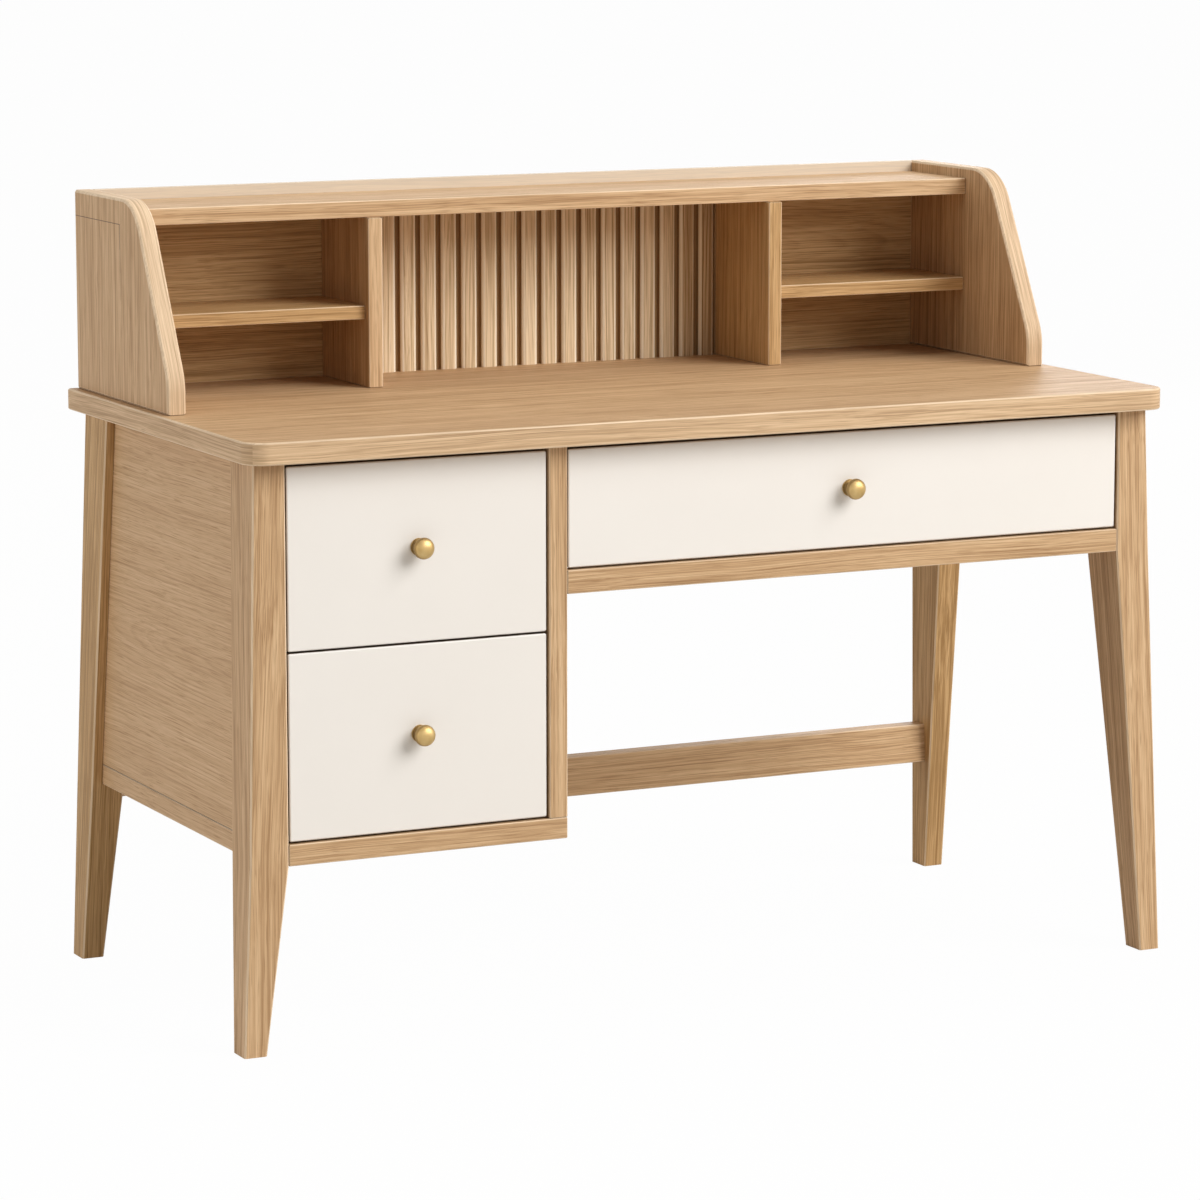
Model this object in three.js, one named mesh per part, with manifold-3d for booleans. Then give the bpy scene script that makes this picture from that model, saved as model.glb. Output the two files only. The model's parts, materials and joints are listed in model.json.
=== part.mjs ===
// Writing desk with three drawers and a low hutch. Millimetres, +Z up, +X to the right, -Y to the front.
// The origin is on the floor, under the middle of the desktop.
import * as THREE from 'three';
import { mergeVertices } from 'three/addons/utils/BufferGeometryUtils.js';
import Module from 'manifold-3d';

const wasm = await Module();
wasm.setup();

// ---------------------------------------------------------------- driving dimensions

const fit = {
  gap: 0.3, // between a board and the housing that takes it
  slide: 0.4, // running clearance inside a drawer slide
  reveal: 2.5, // shadow gap round a drawer front
};
const easedEdge = 1; // small chamfer on every board
const weldDistance = 1e-4;
const facets = { boardCurve: 8, desktopCorner: 10, desktopEdge: 2, slatShoulder: 4 }; // flats per curve

const top = { width: 1300, depth: 636, thickness: 28, surface: 759, cornerRadius: 28, easedEdge: 2 };

const leg = {
  footWidth: 30,
  footDepth: 37,
  edge: 2, // chamfer along the four long edges
  housing: 10, // how far a side board enters the leg
  // Insets are from the desktop's edges to a leg's outer faces at its top. Splays are from those faces,
  // at the floor and at the knee, which is level with the underside of what the leg carries.
  front: {
    insetX: 16,
    insetY: 28,
    topWidth: 42,
    topDepth: 74,
    foot: { splayX: 26, splayY: 16 },
    knee: {
      left: { splayX: 9.5, splayY: 0, depth: 60 },
      right: { splayX: 8, splayY: 0, depth: 76 },
    },
  },
  rear: {
    insetX: 8,
    insetY: 43,
    topWidth: 33,
    topDepth: 78,
    foot: { splayX: 18, splayY: 34 },
    knee: {
      left: { splayX: 12.3, splayY: 23.3, depth: 56 },
      right: { splayX: 4.7, splayY: 8.8, depth: 84 },
    },
  },
};

const pedestal = {
  underside: 231, // bottom of the front rail, and the height of the left legs' knee
  railHeight: 27,
  openingWidth: 353.5, // between the front leg and the stile
  stileWidth: 25, // also the thickness of the partition behind it
  stileDepth: 26,
  splitHeight: 495.5, // middle of the gap between the two drawers
  midRailHeight: 18,
  bottomThickness: 12,
  sideRailRise: 10, // side rail above the front rail
  sideRailThickness: 20,
  sideLean: 10, // how far the side panel's foot stands out beyond its top
  backDrop: 11, // back panel below the front rail
  backThickness: 12,
};

const kneeSpace = {
  railUnderside: 542, // bottom of the rail under the wide drawer, and the right legs' knee
  railHeight: 30,
  railDepth: 22,
  rearApronThickness: 18,
  rearApronHeight: 150,
};

const sideBoard = { thickness: 16, inset: 5 }; // left side panel and right apron, set in from the legs

const rearInset = 56; // from the desktop's back edge to the pedestal back and the rear apron
const post = { overlap: 18, standOut: 30, foot: 150, footChamfer: 6 }; // in front of and behind that line
const stretcher = { bottom: 157, height: 55, inset: 2, thickness: 26 }; // inset from the post's back

const drawerFront = {
  thickness: 18,
  inset: 3, // behind the stile and rails
  ease: 1.5,
  topGap: 7, // shadow gap under the desktop
};
const drawerBox = {
  rearClearance: 69, // in front of the pedestal's back
  margin: 26, // its sides are lower than the front by this, above and below
  sideThickness: 12,
  bottomThickness: 5,
  bottomRise: 10, // bottom above the side's lower edge
  grooveDepth: 6,
  frontHousing: 6, // how far a side enters the drawer front
  backHousing: 4, // how far the back enters a side
};
const runner = { space: 12.5, depth: 10.5, height: 36, wall: 1.6, lip: 4, frontSetback: 6, rearSetback: 4 };
const battenHeight = 44;
const knob = {
  headRadius: 13.5,
  domeHeight: 10,
  projection: 26,
  flareHeight: 5.5, // from the neck out to the widest part of the head
  neckRadius: 6.2,
  baseRadius: 11,
  baseEdge: 1.6,
  baseHeight: 5.5,
  domeFullness: 0.6, // how far the dome's curve keeps to its rim before it turns in
  rise: { upper: 4.8, lower: 4.5, right: 2.2 }, // above the middle of the drawer front
  steps: 6, // along each curve of the profile
  sides: 36,
};

const hutch = {
  top: 1020,
  sideInset: 11,
  rearInset: 8,
  sideThickness: 25,
  footDepth: 330, // depths are from the hutch's back; this one is of the sides on the desktop
  bendHeight: 44, // upright part of a side's front edge
  topDepth: 218, // where a side's slanted edge would meet its top edge
  bendRadius: 70,
  sideEase: 2.5,
  shelfDrop: 15, // top shelf below the side panel's top
  shelfThickness: 22,
  shelfDepth: 159,
  backThickness: 8,
  dividerThickness: 20,
  dividerDepth: 167,
  leftCubbyWidth: 320,
  rightCubbyWidth: 294,
  cubbyShelfRise: 90,
  cubbyShelfThickness: 18,
  cubbyShelfDepth: 156,
};
const slats = { count: 19, gap: 7, depth: 9, backing: 3, shoulder: 4 };

// ---------------------------------------------------------------- finishes

const finish = {
  oak: { color: 0xc9a177, roughness: 0.55, metalness: 0 },
  paleOak: { color: 0xd4b48d, roughness: 0.6, metalness: 0 },
  ply: { color: 0xd9bf9b, roughness: 0.7, metalness: 0 },
  lacquer: { color: 0xf1ebe1, roughness: 0.35, metalness: 0 },
  brass: { color: 0xb9924f, roughness: 0.32, metalness: 0.9 },
  steel: { color: 0xb8bbbf, roughness: 0.4, metalness: 0.9 },
};

// ---------------------------------------------------------------- shape helpers

// A range is [low, high] along one axis.
const span = (low, length) => [low, low + length];
const middle = ([low, high]) => (low + high) / 2;
const length = ([low, high]) => high - low;
const grow = ([low, high], by) => [low - by, high + by];

// An outline through corners [x, y, radius]; a corner with a radius is rounded by an arc.
function outlineOf(corners) {
  const outline = new THREE.Shape();
  corners.forEach(([x, y, radius = 0], i) => {
    const goTo = (toX, toY) => (i === 0 ? outline.moveTo(toX, toY) : outline.lineTo(toX, toY));
    if (radius === 0) {
      goTo(x, y);
      return;
    }
    const corner = new THREE.Vector2(x, y);
    const towards = (other) => new THREE.Vector2(other[0], other[1]).sub(corner).normalize();
    const back = towards(corners[(i + corners.length - 1) % corners.length]);
    const ahead = towards(corners[(i + 1) % corners.length]);
    const halfAngle = Math.acos(back.dot(ahead)) / 2;
    const centre = back.clone().add(ahead).setLength(radius / Math.sin(halfAngle)).add(corner);
    const tangent = radius / Math.tan(halfAngle);
    const from = back.clone().setLength(tangent).add(corner).sub(centre).angle();
    const to = ahead.clone().setLength(tangent).add(corner).sub(centre).angle();
    goTo(centre.x + radius * Math.cos(from), centre.y + radius * Math.sin(from));
    outline.absarc(centre.x, centre.y, radius, from, to, back.cross(ahead) > 0);
  });
  outline.closePath();
  return outline;
}

function rectangle(width, height, chamfer) {
  const [x, y, c] = [width / 2, height / 2, chamfer];
  const corners = [
    [x - c, -y], [x, -y + c], [x, y - c], [x - c, y],
    [-x + c, y], [-x, y - c], [-x, -y + c], [-x + c, -y],
  ];
  return outlineOf(corners);
}

// A board between three ranges, with a small chamfer on its twelve edges.
function board(x, y, z, ease = easedEdge) {
  const geometry = new THREE.ExtrudeGeometry(rectangle(length(x), length(y), ease), {
    depth: length(z) - 2 * ease,
    bevelThickness: ease,
    bevelSize: ease,
    bevelOffset: -ease,
    bevelSegments: 1,
  });
  return geometry.translate(middle(x), middle(y), z[0] + ease);
}

const block = (x, y, z) =>
  new THREE.BoxGeometry(length(x), length(y), length(z)).translate(middle(x), middle(y), middle(z));

// A profile drawn in X and Z, pushed along Y over a range.
function alongY(shape, y, options = {}) {
  const ease = options.ease ?? 0;
  const bevel = { bevelThickness: ease, bevelSize: ease, bevelOffset: -ease, bevelSegments: 1 };
  const geometry = new THREE.ExtrudeGeometry(shape, {
    depth: length(y) - 2 * ease,
    bevelEnabled: ease > 0,
    curveSegments: facets.boardCurve,
    ...bevel,
  });
  return geometry.rotateX(Math.PI / 2).translate(0, y[1] - ease, 0);
}

// A profile drawn in Y and Z, pushed along X over a range.
function alongX(shape, x, options = {}) {
  const ease = options.ease ?? 0;
  const bevel = { bevelThickness: ease, bevelSize: ease, bevelOffset: -ease, bevelSegments: 1 };
  const geometry = new THREE.ExtrudeGeometry(shape, {
    depth: length(x) - 2 * ease,
    bevelEnabled: ease > 0,
    curveSegments: facets.boardCurve,
    ...bevel,
  });
  return geometry.rotateX(Math.PI / 2).rotateZ(Math.PI / 2).translate(x[0] + ease, 0, 0);
}

function solidOf(geometry) {
  const bare = geometry.clone();
  bare.deleteAttribute('normal');
  bare.deleteAttribute('uv');
  const merged = mergeVertices(bare, weldDistance);
  return new wasm.Manifold(new wasm.Mesh({
    numProp: 3,
    vertProperties: merged.attributes.position.array,
    triVerts: new Uint32Array(merged.index.array),
  }));
}

function geometryOf(solid) {
  const mesh = solid.getMesh();
  const geometry = new THREE.BufferGeometry();
  geometry.setAttribute('position', new THREE.BufferAttribute(new Float32Array(mesh.vertProperties), 3));
  geometry.setIndex(new THREE.BufferAttribute(new Uint32Array(mesh.triVerts), 1));
  geometry.computeVertexNormals();
  return geometry;
}

const cut = (geometry, ...tools) =>
  geometryOf(tools.reduce((solid, tool) => solid.subtract(solidOf(tool)), solidOf(geometry)));

// The pocket that takes a board: the board's own ranges, larger by the housing gap.
const pocket = (x, y, z) => block(grow(x, fit.gap), grow(y, fit.gap), grow(z, fit.gap));

const desk = new THREE.Group();

function add(name, geometry, material) {
  const surface = new THREE.MeshStandardMaterial({ name: material, ...finish[material] });
  const mesh = new THREE.Mesh(geometry, surface);
  mesh.name = name;
  desk.add(mesh);
}

// ---------------------------------------------------------------- places worked out from the sizes

const underTop = top.surface - top.thickness;
const pedestalBase = span(pedestal.underside, pedestal.railHeight);
const legTop = (row) => ({
  outerX: top.width / 2 - leg[row].insetX,
  innerX: top.width / 2 - leg[row].insetX - leg[row].topWidth,
  outerY: top.depth / 2 - leg[row].insetY,
});
const frontLegInnerX = legTop('front').innerX;
const rearLegInnerX = legTop('rear').innerX;
const frameFace = -legTop('front').outerY; // front of the stile and rails
const stileX = span(-frontLegInnerX + pedestal.openingWidth, pedestal.stileWidth);
const stileY = span(frameFace, pedestal.stileDepth);
const rightRailZ = span(kneeSpace.railUnderside, kneeSpace.railHeight);
const leftCavity = [-frontLegInnerX, stileX[0]];
const rightCavity = [stileX[1], frontLegInnerX];
const drawerFaceY = span(frameFace + drawerFront.inset, drawerFront.thickness);
const rearLine = top.depth / 2 - rearInset;
const pedestalBackY = [rearLine - pedestal.backThickness, rearLine];
const rearApronY = [rearLine - kneeSpace.rearApronThickness, rearLine];
const boxY = [drawerFaceY[1], pedestalBackY[0] - drawerBox.rearClearance];
const postY = [rearLine - post.overlap, rearLine + post.standOut];
const hutchRear = top.depth / 2 - hutch.rearInset;
const hutchOuter = top.width / 2 - hutch.sideInset;
const hutchInner = hutchOuter - hutch.sideThickness;
const shelfTop = hutch.top - hutch.shelfDrop;
const shelfZ = [shelfTop - hutch.shelfThickness, shelfTop];
const hutchBackY = [hutchRear - hutch.backThickness, hutchRear];
const leftDividerX = span(-hutchInner + hutch.leftCubbyWidth, hutch.dividerThickness);
const rightDividerX = span(
  hutchInner - hutch.rightCubbyWidth - hutch.dividerThickness,
  hutch.dividerThickness,
);
const bayX = [leftDividerX[1], rightDividerX[0]];

// ---------------------------------------------------------------- legs

// A leg's four faces, as distances from the desk's centre lines, at the floor, the knee and the top.
function legSections(side, row) {
  const { footWidth, footDepth, [row]: { foot, knee, topDepth } } = leg;
  const { innerX, outerX, outerY } = legTop(row);
  const kneeZ = side === 'left' ? pedestal.underside : kneeSpace.railUnderside;
  const footX = outerX + foot.splayX;
  const footY = outerY + foot.splayY;
  const kneeX = outerX + knee[side].splayX;
  const kneeY = outerY + knee[side].splayY;
  return [
    { z: 0, innerX: footX - footWidth, outerX: footX, innerY: footY - footDepth, outerY: footY },
    { z: kneeZ, innerX, outerX: kneeX, innerY: kneeY - knee[side].depth, outerY: kneeY },
    { z: underTop, innerX, outerX, innerY: outerY - topDepth, outerY },
  ];
}

// The four faces at a height above the floor.
function legFaces(side, row, z) {
  const [foot, knee, high] = legSections(side, row);
  const [from, to] = z > knee.z ? [knee, high] : [foot, knee];
  const along = (z - from.z) / (to.z - from.z);
  const face = (name) => THREE.MathUtils.lerp(from[name], to[name], along);
  return { innerX: face('innerX'), outerX: face('outerX'), innerY: face('innerY'), outerY: face('outerY') };
}

// A leg is a chamfered bar shaped to its three sections.
function legBlank(side, row) {
  const sections = legSections(side, row);
  const half = 10 * leg.edge; // half the side of the bar that is shaped into the leg
  const geometry = new THREE.ExtrudeGeometry(rectangle(2 * half, 2 * half, leg.edge), {
    depth: sections.length - 1, steps: sections.length - 1, bevelEnabled: false,
  });
  const [signX, signY] = [side === 'left' ? -1 : 1, row === 'front' ? -1 : 1];
  const position = geometry.attributes.position;
  for (let i = 0; i < position.count; i += 1) {
    const section = sections[Math.round(position.getZ(i))];
    const [x, y] = [position.getX(i), position.getY(i)];
    const outwardX = Math.sign(x) === signX;
    const outwardY = Math.sign(y) === signY;
    const faceX = signX * (outwardX ? section.outerX : section.innerX);
    const faceY = signY * (outwardY ? section.outerY : section.innerY);
    position.setXYZ(i, faceX + x - Math.sign(x) * half, faceY + y - Math.sign(y) * half, section.z);
  }
  return geometry;
}

// The y range of a board that runs between a side's two legs and enters both by the housing.
function betweenLegs(side, z) {
  const reach = (row) => Math.max(...z.map((height) => legFaces(side, row, height).innerY));
  return [-reach('front') - leg.housing, reach('rear') + leg.housing];
}

const sidePanelZ = [pedestal.underside + pedestal.sideRailRise + pedestal.railHeight, underTop];
const sideRailZ = [sidePanelZ[0] - pedestal.railHeight, sidePanelZ[0]];
const sideBoardX = span(
  legTop('front').outerX - sideBoard.inset - sideBoard.thickness,
  sideBoard.thickness,
);
const sideRailX = span(-sideBoardX[1] - pedestal.sideLean, pedestal.sideRailThickness);
const sideApronZ = [kneeSpace.railUnderside, underTop];
const stretcherZ = span(stretcher.bottom, stretcher.height);
const stretcherY = span(postY[1] - stretcher.inset - stretcher.thickness, stretcher.thickness);

const boards = {
  leftSideRail: [sideRailX, betweenLegs('left', sideRailZ), sideRailZ],
  rightSideApron: [sideBoardX, betweenLegs('right', sideApronZ), sideApronZ],
  stretcher: [
    [stileX[1], legFaces('right', 'rear', stretcherZ[0]).innerX + leg.housing],
    stretcherY,
    stretcherZ,
  ],
};

// Drawers, from the space each one has; the front fills it but for the reveal.
const drawers = [
  {
    name: 'upper_left_drawer',
    side: 'left',
    cavity: leftCavity,
    frontZ: [pedestal.splitHeight + fit.reveal / 2, underTop - drawerFront.topGap],
    knobRise: knob.rise.upper,
  },
  {
    name: 'lower_left_drawer',
    side: 'left',
    cavity: leftCavity,
    frontZ: [pedestalBase[1] + fit.reveal, pedestal.splitHeight - fit.reveal / 2],
    knobRise: knob.rise.lower,
  },
  {
    name: 'right_drawer',
    side: 'right',
    cavity: rightCavity,
    frontZ: [rightRailZ[1] + fit.reveal, underTop - drawerFront.topGap],
    knobRise: knob.rise.right,
  },
];

// A batten carries the outer runner of each drawer: housed in the front leg, lying along the rear one.
function battenBox({ side, frontZ }) {
  const [sign, backEnd] = side === 'left' ? [-1, pedestalBackY[0]] : [1, rearApronY[0]];
  const x = [sign * frontLegInnerX, sign * rearLegInnerX].sort((a, b) => a - b);
  const z = span(middle(frontZ) - battenHeight / 2, battenHeight);
  return [x, [betweenLegs(side, z)[0], backEnd], z];
}

// The left side panel leans out with its legs: its ends follow them, and it is sheared along X.
function sidePanelGeometry(larger = 0) {
  const z = grow(sidePanelZ, larger);
  const end = (row, height) => legFaces('left', row, height).innerY + leg.housing + larger;
  const outline = outlineOf([
    [-end('front', z[0]), z[0]],
    [end('rear', z[0]), z[0]],
    [end('rear', z[1]), z[1]],
    [-end('front', z[1]), z[1]],
  ]);
  const x = grow([-sideBoardX[1], -sideBoardX[0]], larger);
  const slope = pedestal.sideLean / length(sidePanelZ);
  const lean = new THREE.Matrix4().makeShear(0, 0, 0, 0, slope, 0);
  return alongX(outline, x).translate(0, 0, -underTop).applyMatrix4(lean).translate(0, 0, underTop);
}

function makeLegs() {
  const drawersOn = (side) => drawers.filter((one) => one.side === side);
  const battens = (side) => drawersOn(side).map((one) => pocket(...battenBox(one)));
  const housings = {
    front_left_leg: [sidePanelGeometry(fit.gap), pocket(...boards.leftSideRail), ...battens('left')],
    rear_left_leg: [sidePanelGeometry(fit.gap), pocket(...boards.leftSideRail)],
    front_right_leg: [pocket(...boards.rightSideApron), ...battens('right')],
    rear_right_leg: [pocket(...boards.rightSideApron), pocket(...boards.stretcher)],
  };
  for (const [name, pockets] of Object.entries(housings)) {
    const [row, side] = name.split('_');
    add(name, cut(legBlank(side, row), ...pockets), 'oak');
  }
}

// ---------------------------------------------------------------- carcass

function makeDesktop() {
  const [x, y, r] = [top.width / 2, top.depth / 2, top.cornerRadius];
  const geometry = new THREE.ExtrudeGeometry(outlineOf([[-x, y], [-x, -y, r], [x, -y, r], [x, y]]), {
    depth: top.thickness - 2 * top.easedEdge,
    bevelThickness: top.easedEdge,
    bevelSize: top.easedEdge,
    bevelOffset: -top.easedEdge,
    bevelSegments: facets.desktopEdge,
    curveSegments: facets.desktopCorner,
  });
  add('desktop', geometry.translate(0, 0, underTop + top.easedEdge), 'oak');
}

// The pedestal's bottom lies between its rails and is notched round the two legs.
function pedestalBottomGeometry() {
  const x = [sideRailX[1], stileX[0]];
  const y = [stileY[1], pedestalBackY[0]];
  const z = [pedestalBase[1] - pedestal.bottomThickness, pedestalBase[1]];
  const inner = (row) => Math.min(...z.map((height) => legFaces('left', row, height).innerY)) - fit.gap;
  const outwardX = (legInnerX) => [x[0] - fit.gap, fit.gap - legInnerX];
  return cut(
    block(x, y, z),
    block(outwardX(frontLegInnerX), [y[0] - fit.gap, -inner('front')], grow(z, fit.gap)),
    block(outwardX(rearLegInnerX), [inner('rear'), y[1] + fit.gap], grow(z, fit.gap)),
  );
}

function makePedestal() {
  const stileZ = [pedestalBase[1], underTop];
  const partitionZ = [pedestal.underside, underTop];
  const backX = [-rearLegInnerX, stileX[0]];
  const backZ = [pedestal.underside - pedestal.backDrop, underTop];
  const midRailZ = span(pedestal.splitHeight - pedestal.midRailHeight / 2, pedestal.midRailHeight);
  const midRailY = span(stileY[1], pedestal.stileDepth);
  add('left_side_panel', sidePanelGeometry(), 'oak');
  add('left_side_rail', board(...boards.leftSideRail), 'oak');
  add('pedestal_bottom_rail', board([leftCavity[0], stileX[1]], stileY, pedestalBase), 'oak');
  add('pedestal_stile', board(stileX, stileY, stileZ), 'oak');
  add('pedestal_partition', board(stileX, [stileY[1], postY[0]], partitionZ), 'oak');
  add('pedestal_mid_rail', board(leftCavity, midRailY, midRailZ), 'paleOak');
  add('pedestal_bottom_panel', pedestalBottomGeometry(), 'ply');
  add('pedestal_back_panel', board(backX, pedestalBackY, backZ), 'oak');
}

// The post at the back of the partition drops below the pedestal to carry the stretcher.
function makeRearPost() {
  const [left, right] = stileX;
  const chamfer = post.footChamfer;
  const outline = outlineOf([
    [left + chamfer, post.foot], [right - chamfer, post.foot], [right, post.foot + chamfer],
    [right, underTop], [left, underTop], [left, post.foot + chamfer],
  ]);
  add('pedestal_rear_post', alongY(outline, postY, { ease: easedEdge }), 'oak');
}

function makeKneeSpaceFrame() {
  const rearApronZ = [underTop - kneeSpace.rearApronHeight, underTop];
  add('right_front_rail', board(rightCavity, span(frameFace, kneeSpace.railDepth), rightRailZ), 'oak');
  add('right_side_apron', board(...boards.rightSideApron), 'oak');
  add('rear_apron', board([stileX[1], rearLegInnerX], rearApronY, rearApronZ), 'oak');
  add('stretcher', board(...boards.stretcher), 'oak');
}

// ---------------------------------------------------------------- hutch

function makeHutchSides() {
  const bendZ = top.surface + hutch.bendHeight;
  const outline = outlineOf([
    [hutchRear - hutch.footDepth, top.surface],
    [hutchRear, top.surface],
    [hutchRear, hutch.top],
    [hutchRear - hutch.topDepth, hutch.top, hutch.bendRadius],
    [hutchRear - hutch.footDepth, bendZ, hutch.bendRadius],
  ]);
  const options = { ease: hutch.sideEase };
  add('hutch_left_side', alongX(outline, [-hutchOuter, -hutchInner], options), 'oak');
  add('hutch_right_side', alongX(outline, [hutchInner, hutchOuter], options), 'oak');
}

function makeHutchShelves() {
  const cubbyShelfZ = span(top.surface + hutch.cubbyShelfRise, hutch.cubbyShelfThickness);
  const shelfY = [hutchRear - hutch.shelfDepth, hutchBackY[0]];
  const cubbyShelfY = [hutchRear - hutch.cubbyShelfDepth, hutchBackY[0]];
  const dividerY = [hutchRear - hutch.dividerDepth, hutchBackY[0]];
  const dividerZ = [top.surface, shelfZ[0]];
  add('hutch_top_shelf', board([-hutchInner, hutchInner], shelfY, shelfZ), 'oak');
  add('hutch_left_divider', board(leftDividerX, dividerY, dividerZ), 'oak');
  add('hutch_right_divider', board(rightDividerX, dividerY, dividerZ), 'oak');
  add('left_cubby_shelf', board([-hutchInner, leftDividerX[0]], cubbyShelfY, cubbyShelfZ), 'oak');
  add('right_cubby_shelf', board([rightDividerX[1], hutchInner], cubbyShelfY, cubbyShelfZ), 'oak');
}

// The back stands above the top shelf as a lip, and leaves the middle bay to the slatted panel.
function makeHutchBack() {
  const outline = outlineOf([
    [-hutchInner, top.surface], [bayX[0], top.surface], [bayX[0], shelfZ[0]], [bayX[1], shelfZ[0]],
    [bayX[1], top.surface], [hutchInner, top.surface], [hutchInner, hutch.top], [-hutchInner, hutch.top],
  ]);
  add('hutch_back_panel', alongY(outline, hutchBackY), 'oak');
}

// Upright slats with rounded shoulders on a thin backing, cut from one board.
function makeSlattedPanel() {
  const [rear, valley] = [hutchRear, hutchRear - slats.backing];
  const face = valley - slats.depth;
  const pitch = length(bayX) / slats.count;
  const corners = [[bayX[0], rear], [bayX[0], valley]];
  for (let i = 0; i < slats.count; i += 1) {
    const [left, right] = grow([bayX[0] + i * pitch, bayX[0] + (i + 1) * pitch], -slats.gap / 2);
    corners.push([left, valley], [left, face, slats.shoulder]);
    corners.push([right, face, slats.shoulder], [right, valley]);
  }
  corners.push([bayX[1], valley], [bayX[1], rear]);
  const height = shelfZ[0] - top.surface;
  const geometry = new THREE.ExtrudeGeometry(outlineOf(corners), {
    depth: height, bevelEnabled: false, curveSegments: facets.slatShoulder,
  });
  add('slatted_panel', geometry.translate(0, 0, top.surface), 'oak');
}

// ---------------------------------------------------------------- drawers

function knobGeometry() {
  const widest = knob.projection - knob.domeHeight;
  const profile = new THREE.Path();
  profile.moveTo(0, 0);
  profile.lineTo(knob.baseRadius, 0);
  profile.lineTo(knob.baseRadius, knob.baseEdge);
  profile.quadraticCurveTo(knob.neckRadius, knob.baseEdge, knob.neckRadius, knob.baseHeight);
  profile.lineTo(knob.neckRadius, widest - knob.flareHeight);
  profile.quadraticCurveTo(knob.headRadius, widest - knob.flareHeight, knob.headRadius, widest);
  profile.bezierCurveTo(
    knob.headRadius, widest + knob.domeFullness * knob.domeHeight,
    knob.domeFullness * knob.headRadius, knob.projection,
    0, knob.projection,
  );
  return new THREE.LatheGeometry(profile.getPoints(knob.steps), knob.sides);
}

function makeDrawer({ name, cavity, frontZ, knobRise }) {
  const frontX = grow(cavity, -fit.reveal);
  const outerX = grow(cavity, -runner.space);
  const innerX = grow(outerX, -drawerBox.sideThickness);
  const boxZ = grow(frontZ, -drawerBox.margin);
  const bottomZ = span(boxZ[0] + drawerBox.bottomRise, drawerBox.bottomThickness);
  const bottom = [
    grow(innerX, drawerBox.grooveDepth),
    [boxY[0] - drawerBox.grooveDepth, boxY[1]],
    bottomZ,
  ];
  const back = [
    grow(innerX, drawerBox.backHousing),
    [boxY[1] - drawerBox.sideThickness, boxY[1]],
    [bottomZ[1], boxZ[1]],
  ];
  const sideY = [boxY[0] - drawerBox.frontHousing, boxY[1]];
  const leftSide = [[outerX[0], innerX[0]], sideY, boxZ];
  const rightSide = [[innerX[1], outerX[1]], sideY, boxZ];
  const grooves = [pocket(...bottom), pocket(...back)];

  add(`${name}_front`, cut(
    board(frontX, drawerFaceY, frontZ, drawerFront.ease),
    pocket(...bottom), pocket(...leftSide), pocket(...rightSide),
  ), 'lacquer');
  add(`${name}_left_side`, cut(board(...leftSide), ...grooves), 'paleOak');
  add(`${name}_right_side`, cut(board(...rightSide), ...grooves), 'paleOak');
  add(`${name}_back`, board(...back), 'paleOak');
  add(`${name}_bottom`, block(...bottom), 'ply');
  const knobAt = [middle(frontX), drawerFaceY[0], middle(frontZ) + knobRise];
  add(`${name}_knob`, knobGeometry().rotateX(Math.PI).translate(...knobAt), 'brass');
}

// Two channels on each side: the fixed one is screwed to the desk, the moving one to the drawer.
function makeRunners({ name, cavity, frontZ }) {
  const { space, depth, wall, lip } = runner;
  const half = runner.height / 2;
  const neck = half - wall - lip;
  const wing = depth - wall - fit.slide;
  const fixedHalf = [[0, half], [depth, half], [depth, neck], [depth - wall, neck],
    [depth - wall, half - wall], [wall, half - wall]];
  const movingHalf = [[space, neck - fit.slide], [wing, neck - fit.slide], [wing, half - wall - fit.slide],
    [wing - wall, half - wall - fit.slide], [wing - wall, neck - fit.slide - wall],
    [space - wall, neck - fit.slide - wall]];
  const y = [boxY[0] + runner.frontSetback, boxY[1] - runner.rearSetback];
  const centre = middle(frontZ);
  for (const [side, wallX, inward] of [['left', cavity[0], 1], ['right', cavity[1], -1]]) {
    for (const [part, upper] of [['fixed', fixedHalf], ['moving', movingHalf]]) {
      const lower = upper.map(([out, up]) => [out, -up]).reverse();
      const section = [...upper, ...lower].map(([out, up]) => [wallX + inward * out, centre + up]);
      add(`${name}_${side}_${part}_runner`, alongY(outlineOf(section), y), 'steel');
    }
  }
}

// ---------------------------------------------------------------- the desk

makeDesktop();
makeLegs();
makePedestal();
makeRearPost();
makeKneeSpaceFrame();
drawers.forEach((one) => add(one.name.replace('drawer', 'batten'), board(...battenBox(one)), 'paleOak'));
makeHutchSides();
makeHutchShelves();
makeHutchBack();
makeSlattedPanel();
drawers.forEach((one) => makeDrawer(one));
drawers.forEach((one) => makeRunners(one));

export default desk;
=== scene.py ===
import json
import math
import random

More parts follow.
